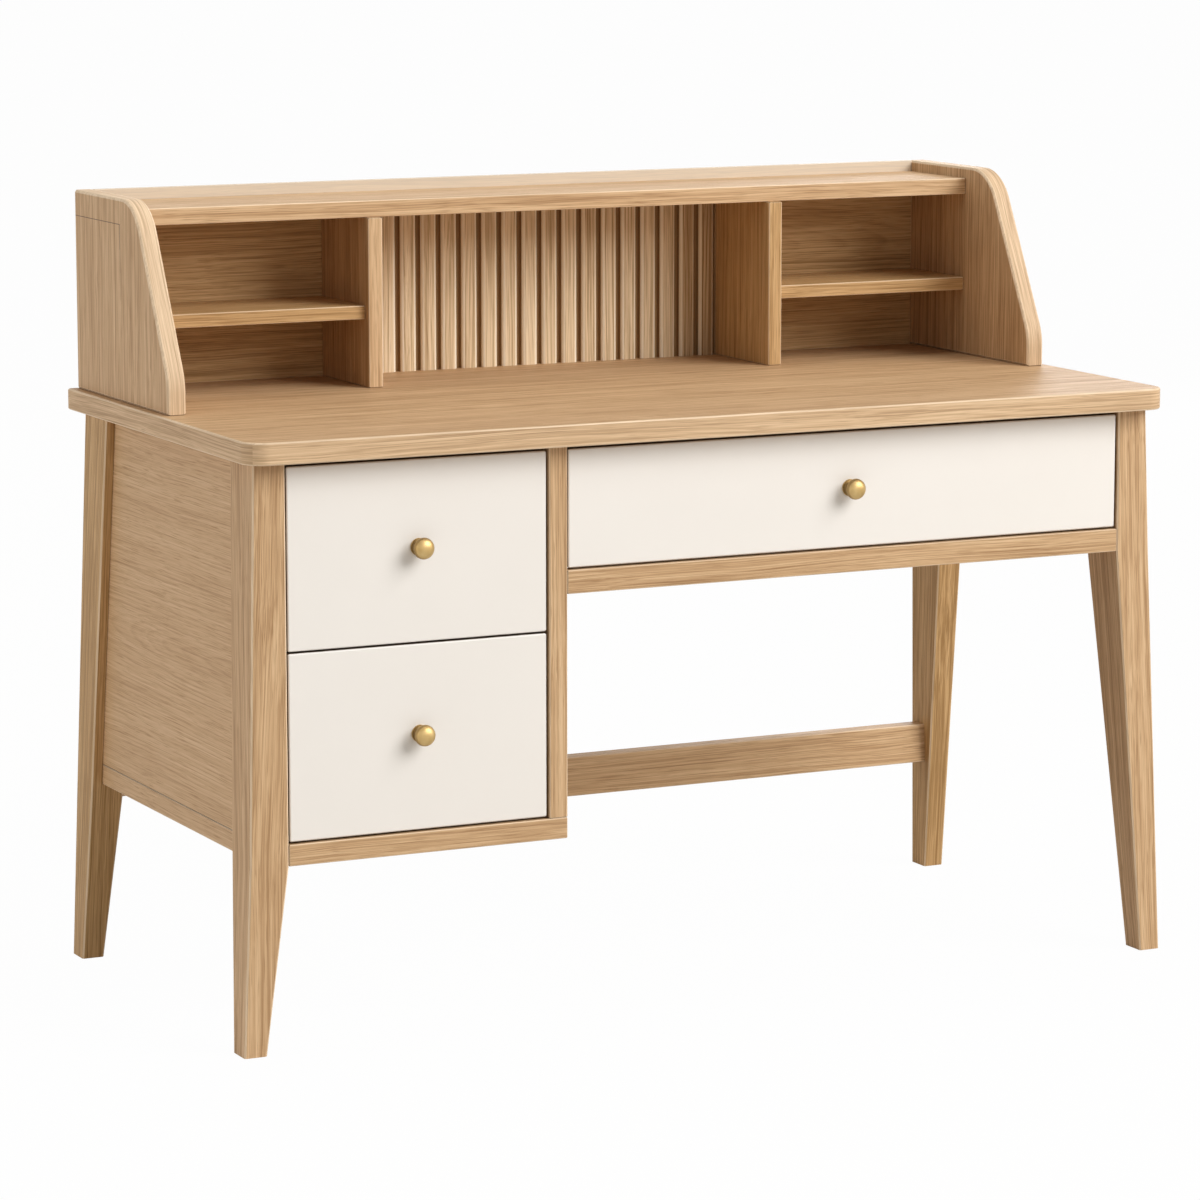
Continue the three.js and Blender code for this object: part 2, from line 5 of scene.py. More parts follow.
import bmesh
import bpy
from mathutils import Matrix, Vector


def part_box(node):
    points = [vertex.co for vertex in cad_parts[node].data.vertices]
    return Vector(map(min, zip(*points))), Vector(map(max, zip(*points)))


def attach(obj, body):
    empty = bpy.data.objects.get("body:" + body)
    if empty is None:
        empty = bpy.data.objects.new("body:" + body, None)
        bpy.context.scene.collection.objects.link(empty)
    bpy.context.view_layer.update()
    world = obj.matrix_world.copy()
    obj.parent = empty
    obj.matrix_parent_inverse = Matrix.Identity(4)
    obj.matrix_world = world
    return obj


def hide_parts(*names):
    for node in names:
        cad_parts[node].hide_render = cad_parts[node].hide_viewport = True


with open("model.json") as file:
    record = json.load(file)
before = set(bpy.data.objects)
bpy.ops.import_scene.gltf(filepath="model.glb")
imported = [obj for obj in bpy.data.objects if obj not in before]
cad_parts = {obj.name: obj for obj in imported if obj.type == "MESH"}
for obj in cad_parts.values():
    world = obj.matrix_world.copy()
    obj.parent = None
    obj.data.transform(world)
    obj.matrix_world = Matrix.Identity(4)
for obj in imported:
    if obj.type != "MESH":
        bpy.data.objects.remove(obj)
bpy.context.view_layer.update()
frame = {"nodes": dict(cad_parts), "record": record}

nodes = frame["nodes"]
bodyOf = {node: body for body, members in frame["record"]["behaviour"]["bodies"].items() for node in members}
slotOf = {part["node"]: part["material_slot"] for part in frame["record"]["subparts"]}
axisIndex = {"x": 0, "y": 1, "z": 2}
drawers = ("upper_left_drawer", "lower_left_drawer", "right_drawer")
print("frame loaded,", len(nodes), "nodes")


# camera and light

view = {
    "azimuth": -26.08, "elevation": 9.31, "distance": 6.2662,
    "target": (-0.02654, 0.0, 0.47861),
    "lens": 142.2, "sensor": 36.0,
}

studio = {
    "sky": 0.250,                     # what the room adds from all sides
    "skyColour": (1.0, 0.970, 0.925),
    "floorLevel": 0.0, "floorSize": 160.0, "floorColour": (0.66, 0.63, 0.59),
    "floorWhiteness": 0.98,           # how far the floor is washed out towards the camera
}

lamps = {
    # name: place, where it looks, side in metres, power in watts, colour
    "key": ((5.1, -6.2, 5.8), (0.0, 0.0, 0.6), 6.0, 900.0, (1.0, 1.0, 1.0)),
    "side": ((-5.0, 0.6, 1.4), (0.0, 0.0, 0.5), 2.4, 66.0, (1.0, 1.0, 1.0)),
    "front": ((-1.6, -5.5, 1.8), (0.0, 0.0, 0.5), 2.6, 9.0, (1.0, 0.95, 0.85)),
    "top": ((-0.2, 0.3, 4.2), (0.0, 0.0, 0.7), 2.4, 36.0, (1.0, 1.0, 1.0)),
    "sheen": ((4.0, 5.2, 1.9), (0.3, 0.0, 0.8), 1.8, 40.0, (1.0, 1.0, 1.0)),
}


def makeCamera():
    azimuth, elevation = math.radians(view["azimuth"]), math.radians(view["elevation"])
    back = Vector((
        math.sin(azimuth) * math.cos(elevation), -math.cos(azimuth) * math.cos(elevation), math.sin(elevation),
    ))
    data = bpy.data.cameras.new("camera")
    data.lens, data.sensor_width = view["lens"], view["sensor"]
    camera = bpy.data.objects.new("camera", data)
    camera.location = Vector(view["target"]) + back * view["distance"]
    camera.rotation_euler = back.to_track_quat("Z", "Y").to_euler()
    bpy.context.scene.collection.objects.link(camera)
    bpy.context.scene.camera = camera


def makeLamp(name):
    place, aim, side, power, colour = lamps[name]
    data = bpy.data.lights.new(name, "AREA")
    data.shape, data.size, data.energy, data.color = "SQUARE", side, power, colour
    lamp = bpy.data.objects.new(name, data)
    lamp.location = place
    lamp.rotation_euler = (Vector(place) - Vector(aim)).to_track_quat("Z", "Y").to_euler()
    bpy.context.scene.collection.objects.link(lamp)


# small helpers for shader trees

def feed(tree, node, inputs):
    for name, value in inputs.items():
        if isinstance(value, bpy.types.NodeSocket):
            tree.links.new(value, node.inputs[name])
        else:
            node.inputs[name].default_value = value


def addNode(tree, kind, inputs=None, **settings):
    node = tree.nodes.new(kind)
    for name, value in settings.items():
        setattr(node, name, value)
    feed(tree, node, inputs or {})
    return node


def calc(tree, operation, *values, clamp=False):
    return addNode(tree, "ShaderNodeMath", dict(enumerate(values)), operation=operation, use_clamp=clamp).outputs[0]


def stretch(tree, vector, scale):
    return addNode(tree, "ShaderNodeMapping", {"Vector": vector, "Scale": scale}).outputs["Vector"]


def noise(tree, vector, scale, detail=2.0, roughness=0.5):
    inputs = {"Vector": vector, "Scale": scale, "Detail": detail, "Roughness": roughness}
    return addNode(tree, "ShaderNodeTexNoise", inputs).outputs["Fac"]


def ramp(tree, factor, stops):
    node = addNode(tree, "ShaderNodeValToRGB", {"Fac": factor})
    elements = node.color_ramp.elements
    while len(elements) < len(stops):
        elements.new(0.5)
    for element, (place, value) in zip(elements, stops):
        element.position = place
        element.color = (value, value, value, 1) if isinstance(value, (int, float)) else (*value, 1)
    return node.outputs["Color"]


def blend(tree, factor, first, second):
    node = addNode(tree, "ShaderNodeMix", data_type="RGBA", blend_type="MIX")
    named = {socket.identifier: socket for socket in node.inputs}
    for identifier, value in (("Factor_Float", factor), ("A_Color", first), ("B_Color", second)):
        if isinstance(value, bpy.types.NodeSocket):
            tree.links.new(value, named[identifier])
        else:
            named[identifier].default_value = value if identifier == "Factor_Float" else (*value, 1)
    return next(socket for socket in node.outputs if socket.identifier == "Result_Color")


def painted(tree, name):
    return addNode(tree, "ShaderNodeAttribute", attribute_name=name).outputs["Fac"]


def bump(tree, height, strength, distance):
    inputs = {"Height": height, "Strength": strength, "Distance": distance}
    return addNode(tree, "ShaderNodeBump", inputs).outputs["Normal"]


def newMaterial(name):
    material = bpy.data.materials.new(name)
    material.use_nodes = True
    return material, material.node_tree, material.node_tree.nodes["Principled BSDF"]


def isSeenWhite(tree):
    path = addNode(tree, "ShaderNodeLightPath")
    rays = calc(tree, "MAXIMUM", path.outputs["Is Camera Ray"], path.outputs["Is Glossy Ray"])
    return calc(tree, "MAXIMUM", rays, path.outputs["Is Transmission Ray"])


def makeWorld():
    world = bpy.data.worlds.new("room")
    bpy.context.scene.world = world
    world.use_nodes = True
    tree = world.node_tree
    background = tree.nodes["Background"]
    seen = isSeenWhite(tree)
    tree.links.new(blend(tree, seen, studio["skyColour"], (1, 1, 1)), background.inputs["Color"])
    level = calc(tree, "MULTIPLY_ADD", seen, 1 - studio["sky"], studio["sky"])
    tree.links.new(level, background.inputs["Strength"])


def makeFloor():
    material, tree, shader = newMaterial("paperFloor")
    feed(tree, shader, {"Base Color": (*studio["floorColour"], 1), "Roughness": 0.9, "Specular IOR Level": 0.0})
    white = addNode(tree, "ShaderNodeEmission", {"Color": (1, 1, 1, 1), "Strength": 1.0})
    washed = calc(tree, "MULTIPLY", isSeenWhite(tree), studio["floorWhiteness"])
    mix = addNode(tree, "ShaderNodeMixShader", {0: washed, 1: shader.outputs[0], 2: white.outputs[0]})
    tree.links.new(mix.outputs[0], tree.nodes["Material Output"].inputs["Surface"])
    half, level = studio["floorSize"] / 2, studio["floorLevel"]
    mesh = bpy.data.meshes.new("floor")
    mesh.from_pydata([(-half, -half, level), (half, -half, level), (half, half, level), (-half, half, level)],
                     [], [(0, 1, 2, 3)])
    mesh.materials.append(material)
    floor = bpy.data.objects.new("floor", mesh)
    bpy.context.scene.collection.objects.link(floor)


makeCamera()
for lampName in lamps:
    makeLamp(lampName)
makeWorld()
makeFloor()
bpy.context.scene.view_settings.view_transform = "Standard"
print("camera, lamps and floor are up")


# finishes

oak = {
    "light": (0.706, 0.489, 0.286), "mid": (0.574, 0.367, 0.197), "dark": (0.356, 0.203, 0.094),
    # lengths and widths of the streaks, in metres
    "sway": (0.60, 0.12, 0.005),       # over what length and width the fibres wander, and how far
    "broad": (0.70, 0.040), "band": (0.45, 0.0056), "streak": (0.25, 0.0016), "pore": (0.055, 0.0008),
    "broadShare": 0.28, "bandShare": 0.80, "streakShare": 1.15, "poreShare": 0.78,
    "ringWidth": 0.0052, "heartDepth": 0.035, "heartSlope": 0.07, "ringShare": 0.25,
    "apart": (31.0, 17.0, 11.0),       # how far along the oak two boards of different tone are cut
    "roughness": 0.50, "relief": 0.00020, "toneSpread": 0.07,
    # the lighter edges, in these colours and this share, are wear with a painted highlight
    "highlitWearLight": (0.960, 0.775, 0.560), "highlitWearDeep": (0.700, 0.530, 0.350), "wearAndPaintedHighlight": 0.75,
    # the lip's paler colour is a painted sheen
    "sheenPaintColour": (0.760, 0.700, 0.600), "seam": (0.110, 0.062, 0.030),
}


def oakMaterial(name, changes=None):
    facts = {**oak, **(changes or {})}
    material, tree, shader = newMaterial(name)
    grain = addNode(tree, "ShaderNodeAttribute", attribute_name="grain").outputs["Vector"]
    tone, wearAndPaintedHighlight, paintedSheen, seam = (painted(tree, name) for name in ("tone", "wearAndPaintedHighlight", "paintedSheen", "seam"))

    def streaks(place, size, detail, roughness=0.55):
        length, width = size
        return noise(tree, stretch(tree, place, (1 / length, 1 / width, 1 / width)), 1.0, detail, roughness)

    # each board has its own stretch of fibres, which wander a little from side to side
    apart = addNode(tree, "ShaderNodeVectorMath", {0: facts["apart"], "Scale": tone}, operation="SCALE").outputs[0]
    own = addNode(tree, "ShaderNodeVectorMath", {0: grain, 1: apart}, operation="ADD").outputs[0]
    length, width, reach = facts["sway"]
    sway = addNode(tree, "ShaderNodeTexNoise", {
        "Vector": stretch(tree, own, (1 / length, 1 / width, 1 / width)), "Scale": 1.0, "Detail": 3.0,
    }).outputs["Color"]
    sway = addNode(tree, "ShaderNodeVectorMath", {0: sway, 1: (0.5, 0.5, 0.5)}, operation="SUBTRACT").outputs[0]
    sway = addNode(tree, "ShaderNodeVectorMath", {0: sway, 1: (0.0, 4 * reach, 4 * reach)}, operation="MULTIPLY")
    placed = addNode(tree, "ShaderNodeVectorMath", {0: own, 1: sway.outputs[0]}, operation="ADD").outputs[0]

    # growth rings round a heart that lies askew, so that flat faces near it show arches
    ringed = addNode(tree, "ShaderNodeVectorMath", {0: grain, 1: sway.outputs[0]}, operation="ADD").outputs[0]
    parts = addNode(tree, "ShaderNodeSeparateXYZ", {0: ringed})
    depth = calc(tree, "MULTIPLY_ADD", parts.outputs[0], facts["heartSlope"], facts["heartDepth"])
    depth = calc(tree, "ADD", depth, parts.outputs[2])
    depth = calc(tree, "MULTIPLY", depth, depth)
    radius = calc(tree, "SQRT", calc(tree, "MULTIPLY_ADD", parts.outputs[1], parts.outputs[1], depth))
    ring = calc(tree, "FRACT", calc(tree, "DIVIDE", radius, facts["ringWidth"]))
    ring = ramp(tree, ring, [(0.0, 0.0), (0.55, 0.25), (0.86, 1.0), (1.0, 0.0)])
    strength = ramp(tree, streaks(own, facts["broad"], 2.0), [(0.35, 0.35), (0.65, 1.0)])
    ring = calc(tree, "MULTIPLY", calc(tree, "MULTIPLY", ring, strength), facts["ringShare"])

    broad = calc(tree, "SUBTRACT", streaks(own, facts["broad"], 3.0), 0.5)
    band = calc(tree, "SUBTRACT", streaks(placed, facts["band"], 4.0, 0.62), 0.5)
    streak = calc(tree, "SUBTRACT", streaks(placed, facts["streak"], 3.0, 0.6), 0.5)
    pore = ramp(tree, streaks(placed, facts["pore"], 1.0), [(0.30, 1.0), (0.43, 0.0)])
    shade = calc(tree, "MULTIPLY_ADD", broad, facts["broadShare"] * 2, 0.5)
    shade = calc(tree, "MULTIPLY_ADD", band, facts["bandShare"] * 2, shade)
    shade = calc(tree, "MULTIPLY_ADD", streak, facts["streakShare"] * 2, shade)
    shade = calc(tree, "SUBTRACT", shade, ring)
    shade = calc(tree, "MULTIPLY_ADD", tone, facts["toneSpread"], shade, clamp=True)
    colour = ramp(tree, shade, [(0.0, facts["dark"]), (0.5, facts["mid"]), (1.0, facts["light"])])
    colour = blend(tree, calc(tree, "MULTIPLY", pore, facts["poreShare"]), colour, facts["dark"])
    # lighter edges: wear with a painted highlight; the lip above the shelf: a painted sheen; tight joints: dark
    # lines
    highlitWearLight = blend(tree, shade, facts["highlitWearDeep"], facts["highlitWearLight"])
    colour = blend(tree, calc(tree, "MULTIPLY", wearAndPaintedHighlight, facts["wearAndPaintedHighlight"]), colour, highlitWearLight)
    colour = blend(tree, paintedSheen, colour, facts["sheenPaintColour"])
    colour = blend(tree, seam, colour, facts["seam"])
    tree.links.new(colour, shader.inputs["Base Color"])

    rough = calc(tree, "MULTIPLY_ADD", shade, -0.10, facts["roughness"] + 0.05)
    rough = calc(tree, "MULTIPLY_ADD", pore, 0.12, rough)
    tree.links.new(rough, shader.inputs["Roughness"])
    feed(tree, shader, {"Specular IOR Level": 0.22})
    height = calc(tree, "SUBTRACT", streak, calc(tree, "MULTIPLY", pore, 0.8))
    tree.links.new(bump(tree, height, 0.35, facts["relief"]), shader.inputs["Normal"])
    return material


lacquer = {
    # the edge colour is wear with a painted highlight
    "colour": (0.855, 0.815, 0.765), "shade": (0.812, 0.768, 0.713), "wearAndPaintedHighlight": (0.91, 0.88, 0.84),
    "bare": (0.16, 0.10, 0.055),      # painted shade in the gaps round a drawer front: its edges are coloured as a dark oak core
    "cloud": 5.0, "wiped": 40.0, "peel": 900.0,     # how fine its clouding, its sheen and its orange peel are
    "edgeWearAndHighlight": 0.6, "roughness": 0.38, "relief": 0.00006,
}


def lacquerMaterial():
    material, tree, shader = newMaterial("offWhiteLacquer")
    place = addNode(tree, "ShaderNodeTexCoord").outputs["Object"]
    wearAndPaintedHighlight = painted(tree, "wearAndPaintedHighlight")
    cloud = noise(tree, place, lacquer["cloud"], 3.0)
    colour = blend(tree, ramp(tree, cloud, [(0.35, 0.0), (0.75, 0.35)]), lacquer["colour"], lacquer["shade"])
    # lighter edges: wear with a painted highlight; the dark edges of a front: painted shade in the gaps round it
    colour = blend(tree, calc(tree, "MULTIPLY", wearAndPaintedHighlight, lacquer["edgeWearAndHighlight"]), colour, lacquer["wearAndPaintedHighlight"])
    colour = blend(tree, painted(tree, "bare"), colour, lacquer["bare"])
    tree.links.new(colour, shader.inputs["Base Color"])
    peel = noise(tree, place, lacquer["peel"], 2.0)
    wiped = noise(tree, place, lacquer["wiped"], 2.0)
    rough = calc(tree, "MULTIPLY_ADD", wiped, 0.10, lacquer["roughness"] - 0.05)
    tree.links.new(rough, shader.inputs["Roughness"])
    feed(tree, shader, {"Specular IOR Level": 0.45})
    tree.links.new(bump(tree, peel, 0.25, lacquer["relief"]), shader.inputs["Normal"])
    return material


brass = {
    "colour": (0.480, 0.320, 0.122), "pale": (0.590, 0.420, 0.190), "patinaAndShadeColour": (0.210, 0.130, 0.048),
    "turned": (60.0, 2400.0, 60.0), "cloud": 90.0,      # the lathe's marks, and the patches of its colour
    "roughness": 0.45, "relief": 0.00004,
}


def brassMaterial():
    material, tree, shader = newMaterial("satinBrass")
    place = addNode(tree, "ShaderNodeTexCoord").outputs["Object"]
    turned = noise(tree, stretch(tree, place, brass["turned"]), 1.0, 2.0)
    cloud = noise(tree, place, brass["cloud"], 2.0)
    colour = blend(tree, ramp(tree, cloud, [(0.3, 0.0), (0.7, 1.0)]), brass["colour"], brass["pale"])
    # patina in the neck with painted shade under the head; a painted dark reflection round the head's edge
    colour = blend(tree, painted(tree, "patinaAndPaintedShade"), colour, brass["patinaAndShadeColour"])
    tree.links.new(colour, shader.inputs["Base Color"])
    rough = calc(tree, "MULTIPLY_ADD", turned, 0.14, brass["roughness"] - 0.05)
    tree.links.new(rough, shader.inputs["Roughness"])
    feed(tree, shader, {"Metallic": 1.0})
    tree.links.new(bump(tree, turned, 0.2, brass["relief"]), shader.inputs["Normal"])
    return material


steel = {
    "colour": (0.55, 0.56, 0.57), "dark": (0.42, 0.43, 0.45),
    "drawn": (900.0, 12.0, 900.0), "spangle": 160.0,    # the marks of the rollers, and the zinc's patches
    "roughness": 0.34, "relief": 0.00003,
}


def steelMaterial():
    material, tree, shader = newMaterial("zincedSteel")
    place = addNode(tree, "ShaderNodeTexCoord").outputs["Object"]
    drawn = noise(tree, stretch(tree, place, steel["drawn"]), 1.0, 3.0)
    spangle = noise(tree, place, steel["spangle"], 3.0, 0.7)
    colour = blend(tree, ramp(tree, spangle, [(0.35, 0.0), (0.65, 1.0)]), steel["dark"], steel["colour"])
    tree.links.new(colour, shader.inputs["Base Color"])
    rough = calc(tree, "MULTIPLY_ADD", drawn, 0.16, steel["roughness"] - 0.06)
    tree.links.new(rough, shader.inputs["Roughness"])
    feed(tree, shader, {"Metallic": 1.0})
    tree.links.new(bump(tree, drawn, 0.25, steel["relief"]), shader.inputs["Normal"])
    return material


paleTones = {
    "light": (0.735, 0.560, 0.375), "mid": (0.640, 0.460, 0.290), "dark": (0.500, 0.335, 0.190),
    "roughness": 0.56,
}
plyTones = {
    "light": (0.760, 0.600, 0.410), "mid": (0.680, 0.510, 0.330), "dark": (0.560, 0.395, 0.240),
    "bandShare": 0.5, "roughness": 0.6,
}
# the dark stop also colours the painted shade in the gaps, and the edge colours the painted highlight on the
# shoulders
slatTones = {
    "light": (0.950, 0.800, 0.600), "mid": (0.810, 0.625, 0.400), "dark": (0.360, 0.215, 0.095),
    "bandShare": 0.60, "streakShare": 0.65, "poreShare": 0.40,
    "highlitWearLight": (1.0, 0.920, 0.780), "highlitWearDeep": (0.880, 0.730, 0.530), "wearAndPaintedHighlight": 0.95,
}
# a darker, more saturated copy of the oak for the boards that stand in shade: painted shade
shadedOakTones = {"light": (0.685, 0.457, 0.234), "mid": (0.560, 0.344, 0.154), "dark": (0.330, 0.183, 0.067)}
veneerTones = {"bandShare": 0.40, "streakShare": 0.60, "poreShare": 0.75}
finishes = {
    "oak": oakMaterial("oiledOak"),
    # the shaded copy of the oak: painted shade
    "shaded_oak_copy": oakMaterial("shadedOakCopy", shadedOakTones),
    "veneer": oakMaterial("oakVeneer", veneerTones),
    "slats": oakMaterial("paleSlatOak", slatTones),
    "pale_oak": oakMaterial("drawerBoxOak", paleTones),
    "plywood": oakMaterial("oakPlywood", plyTones),
    "lacquer": lacquerMaterial(),
    "brass": brassMaterial(),
    "steel": steelMaterial(),
}
print("finishes mixed")


# boards: each is the CAD solid with its edges rounded, and its own stretch of grain

boards = {
    # node: along which axis its fibres run, and through which it is thinnest
    "desktop": "xz",
    "front_left_leg": "zx", "front_right_leg": "zx", "rear_left_leg": "zx", "rear_right_leg": "zx",
    "left_side_panel": "yx", "left_side_rail": "yx", "pedestal_partition": "zx", "pedestal_stile": "zy",
    "pedestal_rear_post": "zx", "pedestal_bottom_panel": "yz", "pedestal_bottom_rail": "xy",
    "pedestal_mid_rail": "xz", "pedestal_back_panel": "zy", "rear_apron": "xy", "right_side_apron": "yx",
    "right_front_rail": "xy", "stretcher": "xy",
    "upper_left_batten": "yx", "lower_left_batten": "yx", "right_batten": "yx",
    "hutch_left_side": "zx", "hutch_right_side": "zx", "hutch_top_shelf": "xz", "hutch_back_panel": "xy",
    "hutch_left_divider": "zx", "hutch_right_divider": "zx", "left_cubby_shelf": "xz", "right_cubby_shelf": "xz",
}
for drawerName in drawers:
    boards.update({
        drawerName + "_front": "xy", drawerName + "_left_side": "yx", drawerName + "_right_side": "yx",
        drawerName + "_back": "xy", drawerName + "_bottom": "xz",
    })

rounding = {
    "width": 0.0008, "segments": 2, "sharperThan": 25.0, "creaseAngle": 50.0,
    "narrow": 0.0045,                 # a slanted face narrower than this gets the lighter edge too: wear with a painted highlight
    "edgeWearAndHighlight": 0.6,                  # how much lighter the edges are: wear with a painted highlight
    "paintedSheen": 0.70,                 # how strong the painted sheen on the lip over the hutch's shelf is
    "firstSeed": 100,                 # each board adds its own number, for its own stretch of grain
}


def newPiece(name, mesh):
    piece = bpy.data.objects.new(name, mesh)
    bpy.context.scene.collection.objects.link(piece)
    return piece


def stands(piece, *replaced):
    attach(piece, bodyOf[replaced[0]])
    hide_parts(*replaced)


hutchSeam = {
    "corner": (0.143, 0.987), "width": (0.0018, 0.0010),    # of the upright line, of the level one
    "dark": 0.9, "fades": ((0.955, 0.8), (0.925, 0.45), (0.890, 0.2)),
}


def cutAcross(work, place, normal):
    everything = work.verts[:] + work.edges[:] + work.faces[:]
    bmesh.ops.bisect_plane(work, geom=everything, plane_co=place, plane_no=normal)


def scribeSeam(work):
    # a hair-fine joint line on the outer face: along under the shelf, then down, where it fades
    y, z = hutchSeam["corner"]
    halfY, halfZ = (width / 2 for width in hutchSeam["width"])
    cuts = [((0, y - halfY, 0), (0, 1, 0)), ((0, y + halfY, 0), (0, 1, 0)),
            ((0, 0, z - halfZ), (0, 0, 1)), ((0, 0, z + halfZ), (0, 0, 1))]
    cuts += [((0, 0, level), (0, 0, 1)) for level, _ in hutchSeam["fades"]]
    for place, normal in cuts:
        cutAcross(work, place, normal)
    seam = work.faces.layers.float["seam"]
    for face in work.faces:
        middle = face.calc_center_median()
        if face.normal.x > -0.9:
            continue
        if abs(middle.z - z) < halfZ and middle.y > y - halfY:
            face[seam] = hutchSeam["dark"]
        elif abs(middle.y - y) < halfY and middle.z < z:
            face[seam] = next((level for end, level in hutchSeam["fades"] if middle.z > end), 0.0)


def roundedCopy(node, width, edgeWearAndHighlight, sheenPaintedAbove=None, seamSides=(), isScribed=False):
    thin = axisIndex[boards[node][1]]
    work = bmesh.new()
    work.from_mesh(nodes[node].data)
    bmesh.ops.remove_doubles(work, verts=work.verts, dist=1e-5)
    bmesh.ops.dissolve_limit(work, angle_limit=math.radians(0.4), verts=work.verts, edges=work.edges)
    if sheenPaintedAbove:
        cutAcross(work, (0, 0, sheenPaintedAbove), (0, 0, 1))
    wearAndPaintedHighlight, paintedSheen, seam = (work.faces.layers.float.new(name) for name in ("wearAndPaintedHighlight", "paintedSheen", "seam"))
    if isScribed:
        scribeSeam(work)
    for face in work.faces:
        # narrow slanted faces are lighter edges, wear with a painted highlight; the lip's faces above
        # sheenPaintedAbove get a painted sheen
        longest = max(edge.calc_length() for edge in face.edges)
        isSlanted = abs(face.normal[thin]) > 0.2 and max(abs(part) for part in face.normal) < 0.93
        if isSlanted and face.calc_area() / longest < rounding["narrow"]:
            face[wearAndPaintedHighlight] = 1.0
        elif sheenPaintedAbove and face.normal.y < 0.5 and face.calc_center_median().z > sheenPaintedAbove:
            face[paintedSheen] = rounding["paintedSheen"]
    limit = math.radians(rounding["sharperThan"])
    edges = [e for e in work.edges if e.is_convex and len(e.link_faces) == 2 and e.calc_face_angle() > limit]
    softened = bmesh.ops.bevel(work, geom=edges, offset=width, offset_type="OFFSET",
                               segments=rounding["segments"], profile=0.5, affect="EDGES", clamp_overlap=True)
    for face in softened["faces"]:
        # a tight joint with the next board shows as a dark line; the other rounded edges are lighter: wear with a
        # painted highlight
        isJoint = any(face.normal.dot(Vector(side)) > 0.3 for side in seamSides)
        face[seam if isJoint else wearAndPaintedHighlight] = 1.0 if isJoint else edgeWearAndHighlight
    mesh = bpy.data.meshes.new(node)
    work.to_mesh(mesh)
    work.free()
    return mesh


def leanOf(points):
    lowest, highest = min(p.z for p in points), max(p.z for p in points)
    ends = []
    for level in (lowest, highest):
        near = [p for p in points if abs(p.z - level) < 0.001]
        ends.append(sum(near, Vector()) / len(near))
    return (ends[1] - ends[0]) / (ends[1].z - ends[0].z)


def layGrain(mesh, fibres, seed, leaning=False, heart=None, rimWrapHighlight=0.0, pieceTone=None, frontPaintedLight=0.0):
    draw = random.Random(seed)
    along, thin = axisIndex[fibres[0]], axisIndex[fibres[1]]
    across = 3 - along - thin
    points = [v.co.copy() for v in mesh.vertices]
    lean = leanOf(points) if leaning else Vector((0, 0, 1))
    size = [max(p[i] for p in points) - min(p[i] for p in points) for i in range(3)]
    middle = [(max(p[i] for p in points) + min(p[i] for p in points)) / 2 for i in range(3)]
    shift = Vector((0, draw.choice((-1, 1)) * draw.uniform(0.15, 0.35) if heart is None else heart, 0))
    band = across if size[across] > size[thin] else thin
    frontmost = min(p.y for p in points)
    wearAndPaintedHighlight = mesh.attributes["wearAndPaintedHighlight"] if rimWrapHighlight else None
    grain = mesh.attributes.new("grain", "FLOAT_VECTOR", "CORNER")
    tone = mesh.attributes.new("tone", "FLOAT", "FACE")
    ownTone = draw.uniform(-1, 1)
    pieceTone = ownTone if pieceTone is None else pieceTone
    for face in mesh.polygons:
        normal = face.normal
        # painted light on a board's front, painted shade where the value is below zero
        tone.data[face.index].value = pieceTone + (frontPaintedLight if normal.y < -0.7 else 0.0)
        facing = max(range(3), key=lambda i: abs(normal[i]))
        order = (along, across, thin) if facing != along else (band, along, 3 - band - along)
        isRim = rimWrapHighlight and abs(normal[thin]) < 0.5
        # a lighter rim where the fibres follow it: wear with a painted highlight
        if isRim and normal.y < 0.5:
            wearAndPaintedHighlight.data[face.index].value = max(wearAndPaintedHighlight.data[face.index].value, rimWrapHighlight)
        for corner in face.loop_indices:
            p = points[mesh.loops[corner].vertex_index]
            if isRim:
                # the fibres follow the board's edge round its corners
                turned = p.y - frontmost if normal.y < 0.5 else 0.0
                side = math.copysign(1.0, p.x) if along == 0 else 1.0
                grain.data[corner].vector = Vector((p[along] + side * turned, p[thin] - middle[thin], 0.0)) + shift
                continue
            if leaning:
                p = Vector((p.x - lean.x * p.z, p.y - lean.y * p.z, p.z))
                if facing != along:
                    # the fibres run in the tapered face, not out of it
                    p[facing] = middle[facing] + math.copysign(size[facing] / 2, normal[facing])
            grain.data[corner].vector = Vector(p[i] - middle[i] for i in order) + shift


def smoothed(piece, creaseAngle=rounding["creaseAngle"]):
    piece.data.shade_smooth()
    piece.data.set_sharp_from_angle(angle=math.radians(creaseAngle))
    even = piece.modifiers.new("even", "WEIGHTED_NORMAL")
    even.keep_sharp = True


